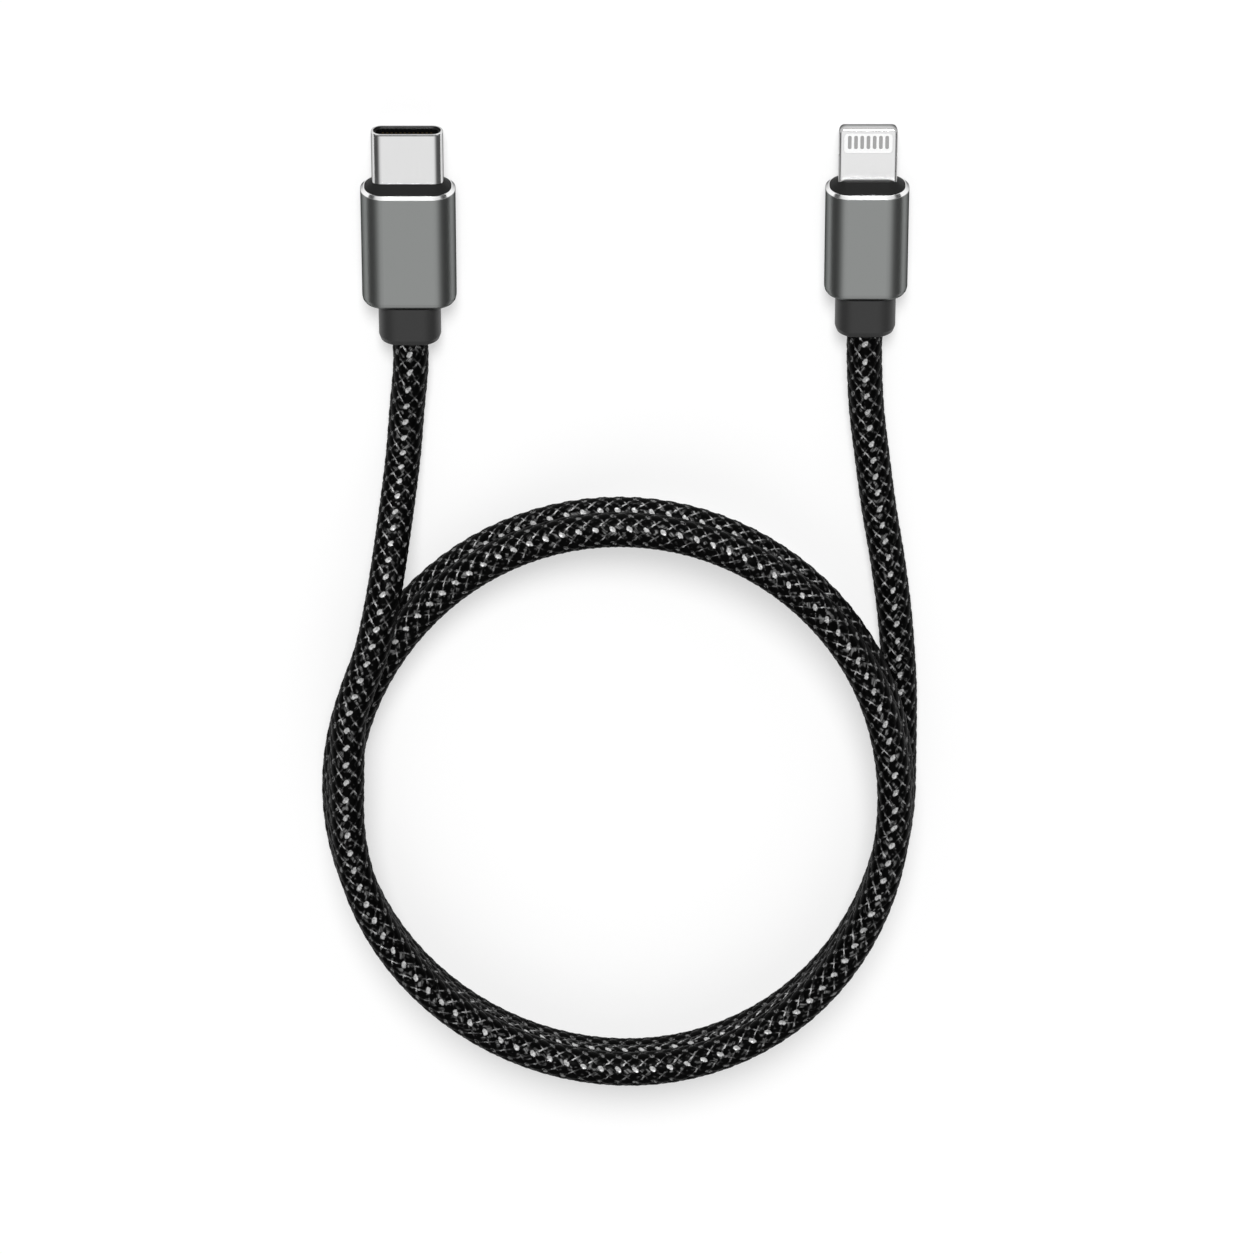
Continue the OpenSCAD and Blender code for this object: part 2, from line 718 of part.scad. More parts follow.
// Direction of a line at point i, square to the end faces at both ends
function line_dir(line, i) =
    i == 0 ? unit(line[1] - line[0]) :
    i == len(line) - 1 ? unit(line[i] - line[i - 1]) :
    unit(unit(line[i + 1] - line[i]) + unit(line[i] - line[i - 1]));

// One ring of points round the line at point i
function ring_points(line, i, r, sides) = let (
    d = line_dir(line, i),
    side = unit(cross(d, [0, 0, 1])),
    up = cross(side, d)
) [for (k = [0:sides - 1]) let (a = 360 * (k + 0.5) / sides)
    line[i] + r * (cos(a) * side + sin(a) * up)];

// One unbroken tube along a line of points
module cord_tube(line, r, sides) {
    n = len(line);
    points = [for (i = [0:n - 1]) each ring_points(line, i, r, sides)];
    walls = [for (i = [0:n - 2], k = [0:sides - 1]) let (
        a = i * sides + k, b = i * sides + (k + 1) % sides, c = b + sides, d = a + sides
    ) each [[a, b, c], [a, c, d]]];
    start_cap = [for (k = [1:sides - 2]) [0, k + 1, k]];
    end_cap = [for (k = [1:sides - 2]) (n - 1) * sides * [1, 1, 1] + [0, k, k + 1]];
    polyhedron(points, concat(walls, start_cap, end_cap));
}

// Least gap between turns, measured on points that lie a quarter of a turn or more apart
gap_steps = 96;
gap_points = [for (i = [0:coil_turns * gap_steps]) coil_point(i / gap_steps)];
coil_least_gap = min([
    for (i = [0:len(gap_points) - 1 - gap_steps / 4], j = [i + gap_steps / 4:len(gap_points) - 1])
        norm(gap_points[i] - gap_points[j]) - cord_d
]);
echo(coil_least_gap = coil_least_gap);

module cord_arm_typec() color([0.08, 0.08, 0.08]) cord_tube(arm_typec_line, cord_r, arm_sides);

module cord_coil() color([0.08, 0.08, 0.08]) cord_tube(coil_line, cord_r, coil_sides);

module cord_arm_blade() color([0.08, 0.08, 0.08]) cord_tube(arm_blade_line, cord_r, arm_sides);

// ---------- what is drawn ----------

typec_shell();
typec_insulator();
typec_contacts_upper();
typec_contacts_lower();
typec_latch();
typec_ground_springs();
typec_board();
typec_board_parts();
typec_inner_can();
typec_inner_mould();
typec_bezel();
typec_housing();
typec_wires();
typec_crimp();
typec_strain_relief();
typec_cord_end();
blade_frame();
blade_core();
blade_contacts_upper();
blade_contacts_lower();
blade_board();
blade_board_parts();
blade_inner_can();
blade_inner_mould();
blade_bezel();
blade_housing();
blade_wires();
blade_crimp();
blade_strain_relief();
blade_cord_end();
cord_arm_typec();
cord_coil();
cord_arm_blade();
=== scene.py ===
# %% [markdown]
# # A charging cable: braided cord, two metal plugs
# The shapes of the plugs come from a imported CAD model, which loads first and stays where it is.
# Blender adds what CAD can't hold: the woven sleeve of the cord, and the finish of every surface.
# The plugs could be modelled again by hand, but then their sizes would drift from the real ones.

# %% Load the frame
import math

import bpy
import numpy as np
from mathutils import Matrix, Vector


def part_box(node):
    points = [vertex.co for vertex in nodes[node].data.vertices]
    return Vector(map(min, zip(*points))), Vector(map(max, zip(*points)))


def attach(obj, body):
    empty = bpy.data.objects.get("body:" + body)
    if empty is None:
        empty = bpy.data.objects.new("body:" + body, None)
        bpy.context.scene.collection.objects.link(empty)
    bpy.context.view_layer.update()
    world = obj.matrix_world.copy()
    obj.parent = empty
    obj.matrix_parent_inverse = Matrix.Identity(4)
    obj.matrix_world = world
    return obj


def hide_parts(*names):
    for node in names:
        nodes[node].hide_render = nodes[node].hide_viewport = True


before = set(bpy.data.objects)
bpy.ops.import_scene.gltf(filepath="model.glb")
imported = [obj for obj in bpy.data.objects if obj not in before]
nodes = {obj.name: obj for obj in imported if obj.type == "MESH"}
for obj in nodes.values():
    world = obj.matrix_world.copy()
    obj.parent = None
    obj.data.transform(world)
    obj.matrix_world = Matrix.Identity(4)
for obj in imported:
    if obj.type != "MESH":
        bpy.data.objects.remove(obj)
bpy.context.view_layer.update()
MM = 0.001

# %% [markdown]
# ## The camera
# The view looks down at the cable from the side that the plugs point to, 57 degrees above the table.
# An orthographic camera would keep the two plugs parallel, but nothing would come nearer or go further.
# A long lens from a metre away does almost the same and stays a real camera, as in a product shot. The
# camera is turned about X alone, so the plugs point straight up in the frame.

# %% Camera
AIM = Vector((-0.89, -55.82, 0)) * MM
CAMERA_DISTANCE = 1000 * MM
CAMERA_ELEVATION = math.radians(57)
LENS_MM = 241.8

camera_data = bpy.data.cameras.new("camera")
camera_data.lens = LENS_MM
camera_data.clip_start = 0.01
camera = bpy.data.objects.new("camera", camera_data)
towards_camera = Vector((0, math.cos(CAMERA_ELEVATION), math.sin(CAMERA_ELEVATION)))
camera.location = AIM + CAMERA_DISTANCE * towards_camera
camera.rotation_euler = (CAMERA_ELEVATION - math.pi / 2, 0, 0)
bpy.context.scene.collection.objects.link(camera)
bpy.context.scene.camera = camera
print(f"camera {camera.location.z / MM:.0f} mm above the table, {LENS_MM} mm lens")

# %% [markdown]
# ## The route of the cord
# A cord is a line before it is a surface. Its centre line leaves the Type-C plug, climbs onto the coil,
# runs down through two and a half turns, and goes out flat to the blade plug. The whole line could be
# drawn by hand as a Bezier curve, but turns that lie on each other are easier to keep even as a formula
# in the number of turns: a slightly squared ellipse that tightens and drifts a little on each turn,
# stays flat for most of it, and climbs one cord height near its end. All of it is in metres.

# %% Coil
CORD_D = 0.0039
CORD_R = CORD_D / 2
COIL_TURNS = 2.5
COIL_CENTRE = (-0.0016, -0.0778)
COIL_DRIFT = (0.0001, 0.0014)
COIL_HALF = (0.0337, 0.0398)
COIL_TIGHTEN = (0.0005, 0.00075)
COIL_LEAN = 0.00035
COIL_SQUARENESS = -0.0004
COIL_PITCH = 0.0044
CLIMB_FROM, CLIMB_TO = 0.62, 0.90


def ease(u):
    """Goes from 0 to 1 with u, slowly at both ends."""
    return u * u * (3 - 2 * u)


def coil_height(t):
    """The height of the centre line after t turns, counted from the table up."""
    turn = math.floor(t)
    climb = min(max((t - turn - CLIMB_FROM) / (CLIMB_TO - CLIMB_FROM), 0), 1)
    return CORD_R + COIL_PITCH * (turn + ease(climb))


def coil_point(t):
    """The point of the centre line after t turns."""
    g = -2 * math.pi * t
    bulge = COIL_LEAN * math.sin(2 * g) + COIL_SQUARENESS * math.cos(3 * g)
    x = COIL_CENTRE[0] + COIL_DRIFT[0] * t + (COIL_HALF[0] - COIL_TIGHTEN[0] * t + bulge) * math.cos(g)
    y = COIL_CENTRE[1] + COIL_DRIFT[1] * t + (COIL_HALF[1] - COIL_TIGHTEN[1] * t + bulge) * math.sin(g)
    return np.array((x, y, coil_height(t)))


print("the coil starts at", coil_point(0).round(4), "and ends at", coil_point(COIL_TURNS).round(4))

# %% [markdown]
# ## The arms, and one even line
# The two arms bend freely, so they are a few listed points. They are joined to the coil and
# smoothed with a Catmull-Rom curve, which passes through every point, where a Bezier curve would need
# handles as well. The line is then measured and cut into even steps, because the weave is laid on it by
# length: an uneven line would stretch the weave.

# %% Arm points
TYPEC_EXIT = (-0.025975, -0.01405, 0.00285)
BLADE_EXIT = (0.026625, -0.01295, 0.00285)
ARM_TYPEC = [
    (-0.0265, -0.024, 0.0021), (-0.0271, -0.031, 0.0023), (-0.0281, -0.038, 0.0052),
    (-0.0293, -0.045, 0.0088), (-0.0308, -0.052, 0.0106), (-0.0327, -0.058, 0.01075),
    (-0.0338, -0.063, 0.01075),
]
ARM_BLADE = [
    (0.0270, -0.024, 0.0021), (0.0278, -0.031, 0.00195), (0.0287, -0.038, 0.00195),
    (0.0298, -0.045, 0.00195), (0.0307, -0.052, 0.00195), (0.0313, -0.059, 0.00195),
    (0.0316, -0.065, 0.00195),
]


def straight_out(point):
    """A point one cord thickness behind a plug, so that the cord leaves it straight."""
    return (point[0], point[1] - CORD_D, point[2])


print("the cord leaves the plugs at", TYPEC_EXIT, "and", BLADE_EXIT)

# %% Smooth and even lines
def smooth_through(points, steps):
    """A Catmull-Rom curve through the points, with its ends held straight."""
    p = np.array([2 * points[0] - points[1], *points, 2 * points[-1] - points[-2]])
    u = np.linspace(0, 1, steps, endpoint=False)[:, None]
    pieces = [
        0.5 * (2 * b + (c - a) * u + (2 * a - 5 * b + 4 * c - d) * u**2 + (3 * b - a - 3 * c + d) * u**3)
        for a, b, c, d in zip(p, p[1:], p[2:], p[3:])
    ]
    return np.vstack([*pieces, p[-2:-1]])


def even_steps(line, step, turn):
    """The same line and its turn numbers, cut into equal steps of about this length."""
    reach = np.concatenate([[0], np.cumsum(np.linalg.norm(np.diff(line, axis=0), axis=1))])
    wanted = np.linspace(0, reach[-1], int(round(reach[-1] / step)) + 1)
    cut = [np.interp(wanted, reach, column) for column in (*line.T, turn)]
    return np.column_stack(cut[:3]), cut[3], reach[-1]


bend = smooth_through(np.array([(0, 0, 0), (1, 0, 0), (1, 1, 0)]), 4)
print("three points and four steps between them make a curve of", len(bend), "points")

# %% Whole centre line
POINTS_PER_TURN = 96
CURVE_STEPS = 24
ROUTE_STEP = 0.0005

turns = np.arange(0, COIL_TURNS * POINTS_PER_TURN + 1) / POINTS_PER_TURN
coil = np.array([coil_point(t) for t in turns])
typec_points = np.array([TYPEC_EXIT, straight_out(TYPEC_EXIT), *ARM_TYPEC, coil[-1]])
blade_points = np.array([coil[0], *ARM_BLADE[::-1], straight_out(BLADE_EXIT), BLADE_EXIT])
typec_arm = smooth_through(typec_points, CURVE_STEPS)
blade_arm = smooth_through(blade_points, CURVE_STEPS)
turn_numbers = [np.full(len(typec_arm) - 1, COIL_TURNS), turns[::-1], np.zeros(len(blade_arm) - 1)]
route, route_turn, cord_length = even_steps(
    np.vstack([typec_arm[:-1], coil[::-1], blade_arm[1:]]), ROUTE_STEP, np.concatenate(turn_numbers))
print(f"the cord is {cord_length:.3f} m from plug to plug, on {len(route)} points")

# %% [markdown]
# ## A frame that travels along the cord
# To lay threads round the cord, each point of the line needs three directions: along it, to its side, and
# up. A curve object in Blender has such a frame inside, but it doesn't say where a thread should lie, so
# it is worked out here. The side is taken square to the world's up, so the weave doesn't twist against
# the table.

# %% Travelling frame
def blur_line(line, rounds):
    """Softens the corners of a line a little, with its ends held."""
    for _ in range(rounds):
        line = np.vstack([line[:1], (line[:-2] + 2 * line[1:-1] + line[2:]) / 4, line[-1:]])
    return line


def unit_rows(rows):
    """The same directions with a length of 1."""
    return rows / np.linalg.norm(rows, axis=1, keepdims=True)


FRAME_BLUR = 12
along = unit_rows(np.gradient(blur_line(route, FRAME_BLUR), axis=0))
side = unit_rows(np.cross(along, (0, 0, 1)))
up = np.cross(side, along)
stations = np.linspace(0, cord_length, len(route))


def on_cord(s, angle, radius):
    """Points at these lengths along the cord, angles from its top, and distances from its centre."""
    def at(table):
        return np.stack([np.interp(s, stations, table[:, i]) for i in range(3)], axis=-1)

    out = np.sin(angle)[..., None] * at(side) + np.cos(angle)[..., None] * at(up)
    return at(route) + radius[..., None] * out


print("the frame at the Type-C plug points along", along[0].round(2))

# %% [markdown]
# ## The braid
# A braiding machine carries bobbins round the cord in both directions, and each thread passes over one
# thread of the other hand and under the next. It could be drawn as a bump pattern on a tube, but a real
# weave has overlaps, dark gaps and glints that move with the light, so each of the fourteen threads is
# modelled as a flat ribbon. Its distance from the centre rises where it passes over and falls where it
# passes under. The crossings of one hand fall midway between those of the other.

# %% Braid values
THREADS_EACH_WAY = 7
REPEAT = 0.00206
RINGS_PER_REPEAT = 7
BRAID_R = 0.0021
THREAD_W = 0.00152
THREAD_CROWN = 0.00020
THREAD_SWING = 0.00008
THREAD_MID = BRAID_R - THREAD_CROWN - THREAD_SWING
LEAD = REPEAT * THREADS_EACH_WAY
BRAID_ANGLE = math.atan(2 * math.pi * THREAD_MID / LEAD)
ACROSS = np.array([-1, -0.72, -0.3, 0.3, 0.72, 1])
print(f"{2 * THREADS_EACH_WAY} threads at {math.degrees(BRAID_ANGLE):.0f} degrees")
print(f"each goes once round the cord in {LEAD / MM:.1f} mm")

# %% [markdown]
# ## How the sleeve lies on the cord
# A woven sleeve turns a little round its cord where the cord is coiled, and it is longer where it was
# pulled. Both could be left out, but then the weave would look printed. Here the sleeve is turned so that
# one row of the weave faces the camera, up and towards the front of the table, because the mask below
# paints its highlights on that row: a painted highlight. Each repeat is a little longer on the runs from
# front to back. On the second half of each turn the cord runs the other way, so the map of the weave is
# turned half round there, and the painted crosses, brighter on one side, stay on the same side of the dots.
# All three are plain tables along the cord, which every thread reads, so the weave stays whole.

# %% Twist and stretch of the braid
def hump(turn, middle, half):
    """1 at the middle turn, 0 at half a width from it and beyond."""
    return ease(np.clip(1 - np.abs((turn - middle) / half), 0, 1))


TWIST_START = 1
FAR_TURN, FAR_TWIST = 0.75, 12
NEAR_TURN, NEAR_TWIST = 1.25, -51
TWIST_REACH = 0.3
MAP_TURNS_FROM, MAP_TURNS_TO = 0.375, 0.875
LOOSE_FROM, LOOSE_TO = -0.085, -0.035
LOOSE, TIGHT = 1.06, 0.92
# This angle turns column 0 of the weave to face the camera, where the painted highlights go.
highlight_row_angle = np.unwrap(np.arctan2(side @ towards_camera, up @ towards_camera))
far_twist = FAR_TWIST * hump(route_turn, FAR_TURN, TWIST_REACH)
near_twist = NEAR_TWIST * hump(route_turn, NEAR_TURN, TWIST_REACH)
twist = highlight_row_angle + np.radians(TWIST_START + far_twist + near_twist)
part_of_turn = route_turn % 1
map_turn = np.where((part_of_turn > MAP_TURNS_FROM) & (part_of_turn < MAP_TURNS_TO), 1.0, -1.0)
stretch = np.interp(route[:, 1], (LOOSE_FROM, LOOSE_TO), (LOOSE, TIGHT))
stretch /= np.sqrt(1 - (along @ towards_camera) ** 2)
weave_s = np.concatenate([[0], np.cumsum(np.diff(stations) / ((stretch[1:] + stretch[:-1]) / 2))])
print(f"the braid turns by {math.degrees(np.ptp(twist)):.0f} degrees, in {weave_s[-1] / REPEAT:.0f} repeats")

# %% [markdown]
# ## Threads as ribbons
# A thread of the sleeve is a flat bundle that winds round the cord. It could be a curve object with a flat
# bevel, but a mesh made point by point can hold maps as well. It is a closed ribbon: a few points across
# its crowned top, repeated along its helix, and never below the table, so the sleeve is flat where it
# lies. Each point also gets its place in the weave, which is kept as a second UV map. In that map U counts
# the columns of crossings round the cord and V the half repeats along it, so a finish can be laid on the
# crossings.

# %% One thread
def thread_points(hand, number, s):
    """Rings of points of one thread, and their places in the weave. hand is 1 or -1."""
    v = ACROSS * THREAD_W / 2
    s_at = np.clip(s[:, None] - hand * v * math.sin(BRAID_ANGLE), 0, cord_length)
    weave_at = np.interp(s_at, stations, weave_s)
    turn = hand * np.interp(s, stations, weave_s) / LEAD + number / THREADS_EACH_WAY
    angle = 2 * math.pi * turn[:, None] + v * math.cos(BRAID_ANGLE) / THREAD_MID
    other = THREADS_EACH_WAY * (angle / (2 * math.pi) + hand * weave_at / LEAD)
    over = hand * np.cos(math.pi * (other - number))
    crown = THREAD_CROWN * (1 - ACROSS**4)
    points = on_cord(s_at, angle + np.interp(s_at, stations, twist), THREAD_MID + THREAD_SWING * over + crown)
    points[..., 2] = np.maximum(points[..., 2], 0)
    return points, np.stack([angle * THREADS_EACH_WAY / math.pi, 2 * weave_at / REPEAT], axis=-1)


print("a thread has", len(ACROSS), "points across")

# %% Ribbons into one mesh
def ribbon_mesh(name, strips, lengths, places=None, map_turns=None):
    """Joins closed ribbons into one mesh. Its UV map runs across each ribbon in U and along it in V.
    places are the points of a second map, and map_turns has 1 or -1 for each ring of that map."""
    rings, width = strips[0].shape[:2]
    vertices = np.concatenate([strip.reshape(-1, 3) for strip in strips])
    ring, column = np.meshgrid(np.arange(rings - 1), np.arange(width), indexing="ij")
    beside = (column + 1) % width
    quads = np.stack([ring * width + column, ring * width + beside,
                      (ring + 1) * width + beside, (ring + 1) * width + column], axis=-1).reshape(-1, 4)
    faces = np.concatenate([quads + i * rings * width for i in range(len(strips))])
    mesh = bpy.data.meshes.new(name)
    mesh.from_pydata(vertices.tolist(), [], faces.tolist())
    u = np.stack([column, column + 1, column + 1, column], axis=-1) / (width - 1)
    u = np.where(column[..., None] == width - 1, np.array([1, 0, 0, 1]), u)
    v = np.stack([lengths[ring], lengths[ring], lengths[ring + 1], lengths[ring + 1]], axis=-1)
    uv = np.stack([u, v / THREAD_W], axis=-1).reshape(-1, 2)
    layer = mesh.uv_layers.new(name="thread")
    layer.data.foreach_set("uv", np.tile(uv, (len(strips), 1)).astype(np.float32).ravel())
    if places:
        weave = np.concatenate([place.reshape(-1, 2) for place in places])[faces.ravel()]
        weave = weave * np.tile(np.repeat(map_turns[ring], 4), len(strips))[:, None]
        mesh.uv_layers.new(name="weave").data.foreach_set("uv", weave.astype(np.float32).ravel())
    mesh.shade_smooth()
    piece = bpy.data.objects.new(name, mesh)
    bpy.context.scene.collection.objects.link(piece)
    return piece


print("ribbons are joined with", RINGS_PER_REPEAT, "rings to a repeat")

# %% [markdown]
# ## Weaving the sleeve
# Seven threads wind to the right and seven to the left, as on the machine. All threads of one hand are
# one object, so that the scene holds two pieces and not fourteen. The left hand mirrors the right, and a
# mirrored face would show its back, so its points are taken the other way round.

# %% Weave the sleeve
ring_count = int(round(weave_s[-1] / REPEAT * RINGS_PER_REPEAT)) + 1
ring_s = np.linspace(0, cord_length, ring_count)
ring_map_turn = np.where(np.interp(ring_s, stations, map_turn) > 0, 1, -1)
braid = {}
for hand, name in ((1, "cord_braid_right"), (-1, "cord_braid_left")):
    strips, places = zip(*(thread_points(hand, number, ring_s) for number in range(THREADS_EACH_WAY)))
    if hand < 0:
        strips, places = [s[:, ::-1] for s in strips], [w[:, ::-1] for w in places]
    braid[name] = ribbon_mesh(name, strips, ring_s, places, ring_map_turn)
    print(name, len(braid[name].data.polygons), "faces")

# %% [markdown]
# ## The jacket under the braid
# Between the threads there are small gaps, and in them the black jacket of the cord shows. Without it the
# light would shine through the sleeve. A curve with a round bevel would do, but the tube is built like
# the ribbons, on the same line, so that the two can't part.

# %% Jacket
JACKET_R = 0.00150
JACKET_SIDES = 14
JACKET_STEP = 0.0012


def tube_points(radius, s, sides):
    """Rings of points of a tube along the cord."""
    angle = np.linspace(0, 2 * math.pi, sides, endpoint=False)
    shape = (len(s), sides)
    return on_cord(np.repeat(s[:, None], sides, 1), np.tile(angle, (len(s), 1)), np.full(shape, radius))


jacket_s = np.linspace(0, cord_length, int(cord_length / JACKET_STEP))
jacket = ribbon_mesh("cord_jacket", [tube_points(JACKET_R, jacket_s, JACKET_SIDES)], jacket_s)
print(jacket.name, len(jacket.data.polygons), "faces")

# %% [markdown]
# ## Helpers for finishes
# Every finish is one Principled shader fed by a few texture nodes. A real surface is never one even value,
# so each finish has a grain in its colour or roughness, and a fine bump at its real scale. Tiled images
# could give the grain too, but noise has no seams and no limit of size. The textures read the object's own
# coordinates, in metres, so a grain of 0.1 mm has a scale of 10000.

# %% Node helpers
def new_finish(name, colour, metallic, roughness, specular=0.5):
    """A material with one Principled shader. Returns the material and the shader."""
    material = bpy.data.materials.new(name)
    material.use_nodes = True
    shader = material.node_tree.nodes["Principled BSDF"]
    shader.inputs["Base Color"].default_value = (*colour, 1)
    shader.inputs["Metallic"].default_value = metallic
    shader.inputs["Roughness"].default_value = roughness
    shader.inputs["Specular IOR Level"].default_value = specular
    return material, shader


def add(material, kind, **settings):
    """A new node of this kind in the material."""
    node = material.node_tree.nodes.new(kind)
    for key, value in settings.items():
        setattr(node, key, value)
    return node


def wire(material, out, into):
    """Links an output socket to an input socket."""
    material.node_tree.links.new(out, into)


def grey(value):
    """A neutral colour."""
    return (value, value, value)


def finish_node(name, material):
    """Gives a CAD piece its finish in all its material slots."""
    slots = nodes[name].material_slots
    for slot in slots:
        slot.material = material
    return len(slots)


print("the first CAD piece has", len(nodes[sorted(nodes)[0]].material_slots), "material slot")

# %% Texture helpers
def grain(material, size, stretch=(1, 1, 1), detail=2.0):
    """A noise texture with grains of about this size in metres. stretch lengthens them along an axis."""
    place = add(material, "ShaderNodeTexCoord")
    scale = add(material, "ShaderNodeMapping")
    scale.inputs["Scale"].default_value = [1 / (size * s) for s in stretch]
    noise = add(material, "ShaderNodeTexNoise")
    noise.inputs["Scale"].default_value = 1
    noise.inputs["Detail"].default_value = detail
    wire(material, place.outputs["Object"], scale.inputs["Vector"])
    wire(material, scale.outputs["Vector"], noise.inputs["Vector"])
    return noise.outputs["Fac"]


def between(material, factor, low, high, start=0.3, end=0.7):
    """Maps a factor to a value between low and high."""
    remap = add(material, "ShaderNodeMapRange")
    remap.inputs["From Min"].default_value = start
    remap.inputs["From Max"].default_value = end
    remap.inputs["To Min"].default_value = low
    remap.inputs["To Max"].default_value = high
    wire(material, factor, remap.inputs["Value"])
    return remap.outputs["Result"]


def blend_colours(material, factor, first, second):
    """The first colour where the factor is 0, the second where it is 1."""
    mix = add(material, "ShaderNodeMix", data_type="RGBA")
    mix.inputs["A"].default_value = (*first, 1)
    mix.inputs["B"].default_value = (*second, 1)
    wire(material, factor, mix.inputs["Factor"])
    return mix.outputs["Result"]


def add_bump(material, shader, height, depth, strength=1.0):
    """Raises the surface by up to depth metres where height is 1."""
    bump = add(material, "ShaderNodeBump")
    bump.inputs["Distance"].default_value = depth
    bump.inputs["Strength"].default_value = strength
    wire(material, height, bump.inputs["Height"])
    wire(material, bump.outputs["Normal"], shader.inputs["Normal"])


print("texture helpers: grain, between, blend_colours, add_bump")

# %% [markdown]
# ## Helpers for masks
# A mask says where a finish changes. It is a chain of Math nodes, and each of these helpers adds one link,
# so that a mask reads almost like the formula it stands for.

# %% Math helpers
def math_node(material, operation, *values):
    """One Math node. Its inputs may be sockets or numbers."""
    node = add(material, "ShaderNodeMath", operation=operation)
    for socket, value in zip(node.inputs, values):
        if isinstance(value, (int, float)):
            socket.default_value = value
        else:
            wire(material, value, socket)
    return node.outputs["Value"]


def soft_step(material, value, start, end, low=0.0, high=1.0):
    """Goes from low to high while the value goes from start to end, slowly at both ends."""
    step = add(material, "ShaderNodeMapRange", interpolation_type="SMOOTHSTEP")
    for key, number in (("From Min", start), ("From Max", end), ("To Min", low), ("To Max", high)):
        step.inputs[key].default_value = number
    wire(material, value, step.inputs["Value"])
    return step.outputs["Result"]


def times(material, *factors):
    """The product of all factors."""
    product = factors[0]
    for factor in factors[1:]:
        product = math_node(material, "MULTIPLY", product, factor)
    return product


def noise_on(material, coordinates, scale, detail):
    """A flat noise texture on these coordinates."""
    noise = add(material, "ShaderNodeTexNoise", noise_dimensions="2D")
    noise.inputs["Scale"].default_value = scale
    noise.inputs["Detail"].default_value = detail
    wire(material, coordinates, noise.inputs["Vector"])
    return noise.outputs["Fac"]


print("mask helpers: math_node, soft_step, times, noise_on")

# %% [markdown]
# ## Pale flecks and painted highlights in the weave
# A few pale filaments run along with the black ones and come to the surface where threads meet, as faint
# dots all round the cord. On the row that faces the camera the marks are painted highlights: a row of
# bright dots, crosses between the dots that are brighter on one side, and faint smudges of painted sheen.
# They could be painted in an image, but a mask made of math nodes stays sharp at any size. It reads the
# weave map: every whole number of (U + V) / 2 and (U - V) / 2 is the middle of a gap, and two gaps cross
# where threads meet. Noise bends and breaks the marks, because a real thread is never even.

# %% Where the gaps are
DOT_LONG, DOT_SHORT = 0.31, 0.20
DOT_EDGE = (0.5, 1.3)
DOT_BREAKS = (0.6, 1.0, 0.38, 0.55)
LINE_HALF = 0.055
LINE_EDGE = (0.5, 1.6)
ARM_END, ARM_REST = 0.6, 0.12
BEND = 0.07


def distance_to_gap(material, round_cord, along_cord, hand, wobble):
    """0 in the gap beside a thread of this hand, 0.5 on the middle of the thread."""
    half = times(material, math_node(material, hand, round_cord, along_cord), 0.5)
    bent = math_node(material, "ADD", half, between(material, wobble, -BEND, BEND, 0.2, 0.8))
    return math_node(material, "SUBTRACT", 0.5, math_node(material, "PINGPONG", bent, 0.5))


def dot_mask(material, long_gap, short_gap, wobble):
    """An oval round a meeting point, longer along one hand of the weave."""
    across = math_node(material, "DIVIDE", short_gap, DOT_SHORT)
    down = math_node(material, "DIVIDE", long_gap, DOT_LONG)
    reach = math_node(material, "ADD", times(material, across, across), times(material, down, down))
    return times(material, soft_step(material, reach, *DOT_EDGE, 1.0, 0.0),
                 between(material, wobble, *DOT_BREAKS))


def arm_mask(material, gap, run, length, strength):
    """A line in a gap, which fades to a faint rest short of the next meeting point."""
    near, far = (LINE_HALF * edge for edge in LINE_EDGE)
    return times(material, soft_step(material, gap, near, far, strength, 0.0),
                 soft_step(material, run, length * ARM_END, length, 1.0, ARM_REST))


gap_step = math.hypot(math.pi * THREAD_MID / THREADS_EACH_WAY, REPEAT / 2)
print(f"a dot is about {2 * DOT_LONG * gap_step / MM:.1f} mm long")

# %% [markdown]
# ## Where each mark shows
# Dots lie on the column of crossings that faces the camera and come back faintly on the far side of the
# cord, crosses lie on the columns beside it, and smudges lie between. Each has its own fade round the
# cord away from that column: where it starts and ends, in columns, and how strong it is there. So the
# bright dots and crosses are painted highlights and the smudges painted sheen, strongest where the cord
# faces the camera. These pairs of numbers set where the painted highlights lie round the cord.

# %% Fleck numbers
WOBBLE, SPECKLE = (2.2, 2), (1.6, 0.5)
LONG_ARM, SHORT_ARM = (0.56, 0.8), (0.36, 0.45)
# Columns count from the row that faces the camera. Dots, crosses and smudges fade away from it, and the
# crosses are brighter on one side: painted highlights and painted sheen.
DOT_COLUMNS = (0.9, 1.3, 1.0, 0.0)
FAINT_DOT_COLUMNS = (2.5, 4.0, 0.6, 0.2)
FAINT_DOT_PATCHES = (0.05, 0.5, 0.42, 0.58)
ARM_COLUMNS = (1.2, 2.6, 1.0, 0.2)
ARM_LIT_SIDE = (-0.5, 0.3, 0.45, 1.0)
ARM_WAVE = (-0.4, 0.3, 0.3, 1.0)
ARM_PATCHES = (0.4, 1.1, 0.4, 0.52)
ARM_ON_EVEN = 0.15
SHEEN_COLUMNS = (0.4, 1.4, 1.0, 0.0)
SHEEN_PATCHES = (0, 0.3, 0.56, 0.72)
SHEEN_LINES = (0.25, 1.0, 0.45, 0.6)
EVEN_EDGE = 0.1
print("the flecks lie on", 2 * THREADS_EACH_WAY, "columns round the cord")

